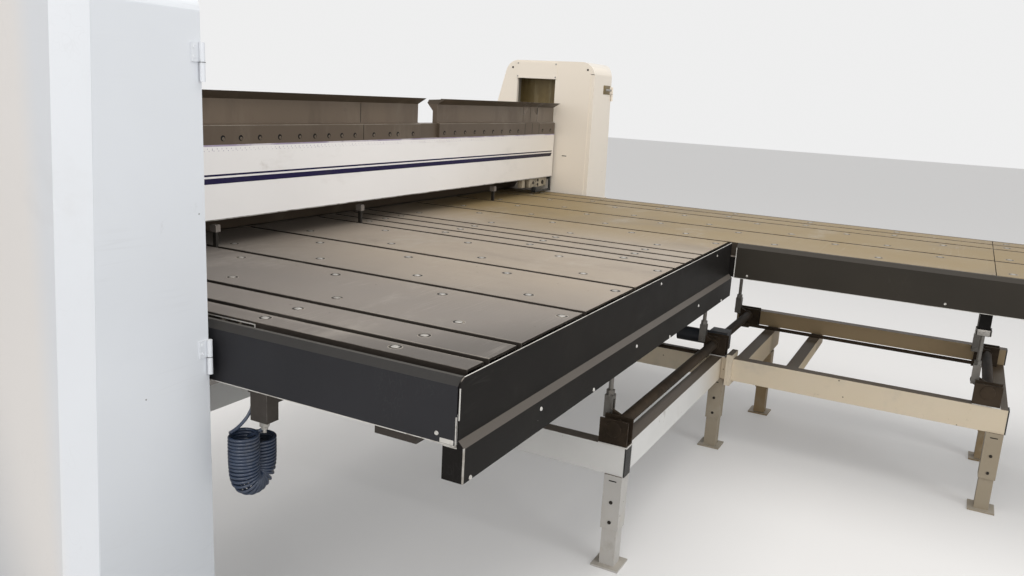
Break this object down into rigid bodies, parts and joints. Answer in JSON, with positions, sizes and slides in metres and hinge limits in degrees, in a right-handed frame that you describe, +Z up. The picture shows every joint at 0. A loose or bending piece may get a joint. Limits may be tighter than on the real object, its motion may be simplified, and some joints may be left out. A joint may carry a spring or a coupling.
{
  "type": "sheet metal folding machine",
  "caption": "Long folding machine: turning clamping beam with tall and low tools between side housings, folding beam, slotted L-shaped gauge table on a lowering support frame.",
  "frame": {"origin": "on the floor under the middle of the machine's overall length and width", "axes": "+X along the fold line towards the near housing, +Y from the folding beam over the gauge table, +Z up"},
  "size_m": [3.936, 3.433, 1.687],
  "materials": {
    "housing_paint": "semi-gloss off-white powder coat",
    "beam_paint": "semi-gloss off-white paint",
    "support_paint": "worn off-white paint",
    "skirt_paint": "matt charcoal powder coat",
    "dark_paint": "dark grey paint",
    "brown_paint": "oiled mill-scale steel",
    "table_steel": "worn steel plate",
    "table_steel_dark": "worn steel plate",
    "tool_steel": "hardened tool steel",
    "bright_steel": "machined steel",
    "zinc": "zinc-plated steel",
    "aluminium_block": "anodised aluminium",
    "black_plastic": "black moulded plastic",
    "equipment": "grey enamelled cabinet",
    "hose": "blue-grey polyurethane"
  },
  "bodies": {
    "stand": {"near_side_frame": "housing_paint", "far_side_frame": "housing_paint", "near_housing": "housing_paint", "far_housing": "housing_paint", "door_hinges": "zinc", "slot_covers": "housing_paint", "lower_beam": "support_paint", "lower_jaw": "tool_steel", "support_frame": "support_paint", "extension_support": "support_paint", "frame_end_caps": "black_plastic", "leg_sleeves": "support_paint", "adjustable_feet": "support_paint", "leg_bolts": "zinc", "guide_rails": "bright_steel", "lift_cylinders": "dark_paint", "fold_drives": "dark_paint", "main_shaft_brackets": "brown_paint", "extension_shaft_brackets": "brown_paint", "table_lift_motor": "dark_paint", "housing_equipment": "equipment"},
    "near_door": {"near_door": "housing_paint"},
    "far_door": {"far_door": "housing_paint"},
    "lift_carriage": {"lift_carriages": "bright_steel", "lift_piston_rods": "bright_steel", "clamp_cylinders": "dark_paint"},
    "clamp_slide": {"bearing_blocks": "bright_steel", "clamp_piston_rods": "bright_steel", "turn_drive": "dark_paint"},
    "clamping_beam": {"clamping_beam_box": "beam_paint", "beam_journals": "bright_steel", "rear_beam_cover": "beam_paint", "front_beam_cover": "beam_paint", "tool_clamp_bar": "tool_steel", "low_tool": "tool_steel", "tall_tools": "tool_steel"},
    "folding_beam": {"folding_beam_body": "beam_paint", "folding_blade": "tool_steel", "folding_arms": "beam_paint"},
    "table": {"table_plates": "table_steel", "extension_plates": "table_steel_dark", "table_frame": "skirt_paint", "extension_frame": "skirt_paint", "rear_skirt": "skirt_paint", "near_skirt": "skirt_paint", "far_skirt": "skirt_paint", "extension_inner_skirt": "skirt_paint", "extension_end_skirt": "skirt_paint", "lift_rods": "zinc", "gauge_axes": "bright_steel", "air_blocks": "aluminium_block", "coiled_air_hose": "hose"},
    "gauge": {"gauge_bar": "bright_steel", "finger_cylinders": "aluminium_block"},
    "fingers": {"gauge_fingers": "bright_steel"},
    "front_shaft": {"front_torque_shaft": "brown_paint"},
    "rear_shaft": {"rear_torque_shaft": "brown_paint"},
    "extension_shaft": {"extension_torque_shaft": "brown_paint"},
    "pull_rod_front": {"front_pull_rod": "zinc"},
    "pull_rod_extension": {"extension_pull_rod": "zinc"}
  },
  "joints": [
    {"name": "turn_lift", "type": "slide", "parent": "stand", "child": "lift_carriage", "axis": [0, 0, 1], "range_m": [0, 0.3]},
    {"name": "clamp_open", "type": "slide", "parent": "lift_carriage", "child": "clamp_slide", "axis": [0, 0, 1], "range_m": [0, 0.04]},
    {"name": "beam_turn", "type": "hinge", "parent": "clamp_slide", "child": "clamping_beam", "pos_m": [0, -1.3305, 1.161], "axis": [-1, 0, 0], "range_deg": [0, 180]},
    {"name": "fold", "type": "hinge", "parent": "stand", "child": "folding_beam", "pos_m": [0, -1.5035, 0.95], "axis": [-1, 0, 0], "range_deg": [0, 135]},
    {"name": "table_lower", "type": "slide", "parent": "stand", "child": "table", "axis": [0, 0, 1], "range_m": [-0.0456, 0]},
    {"name": "front_shaft_turn", "type": "hinge", "parent": "stand", "child": "front_shaft", "pos_m": [0, -1.21456, 0.475], "axis": [1, 0, 0], "range_deg": [0, 50]},
    {"name": "rear_shaft_turn", "type": "hinge", "parent": "stand", "child": "rear_shaft", "pos_m": [0, 0.07244, 0.475], "axis": [1, 0, 0], "range_deg": [0, 50]},
    {"name": "extension_shaft_turn", "type": "hinge", "parent": "stand", "child": "extension_shaft", "pos_m": [-1, 1.13144, 0.475], "axis": [1, 0, 0], "range_deg": [0, 50]},
    {"name": "front_pull_rod_pivot", "type": "hinge", "parent": "rear_shaft", "child": "pull_rod_front", "pos_m": [-0.622, 0.05638, 0.44056], "axis": [1, 0, 0], "range_deg": [-50, 0]},
    {"name": "extension_pull_rod_pivot", "type": "hinge", "parent": "rear_shaft", "child": "pull_rod_extension", "pos_m": [-1.262, 0.05638, 0.44056], "axis": [1, 0, 0], "range_deg": [-50, 0]},
    {"name": "gauge_travel", "type": "slide", "parent": "table", "child": "gauge", "axis": [0, 1, 0], "range_m": [0, 0.97]},
    {"name": "finger_drop", "type": "slide", "parent": "gauge", "child": "fingers", "axis": [0, 0, 1], "range_m": [-0.085, 0]},
    {"name": "near_door_swing", "type": "hinge", "parent": "stand", "child": "near_door", "pos_m": [1.602, -0.5025, 0.9], "axis": [0, 0, 1], "range_deg": [0, 85]},
    {"name": "far_door_swing", "type": "hinge", "parent": "stand", "child": "far_door", "pos_m": [-1.8822, -0.9625, 0.9], "axis": [0.042, 0, 0.9991], "range_deg": [0, 85]}
  ],
  "couplings": [
    {"joint": "beam_turn", "follows": "turn_lift", "rad_per_m": 10.472},
    {"joint": "front_shaft_turn", "follows": "table_lower", "rad_per_m": -19.12},
    {"joint": "rear_shaft_turn", "follows": "table_lower", "rad_per_m": -19.12},
    {"joint": "extension_shaft_turn", "follows": "table_lower", "rad_per_m": -19.12},
    {"joint": "front_pull_rod_pivot", "follows": "table_lower", "rad_per_m": 19.12},
    {"joint": "extension_pull_rod_pivot", "follows": "table_lower", "rad_per_m": 19.12}
  ]
}
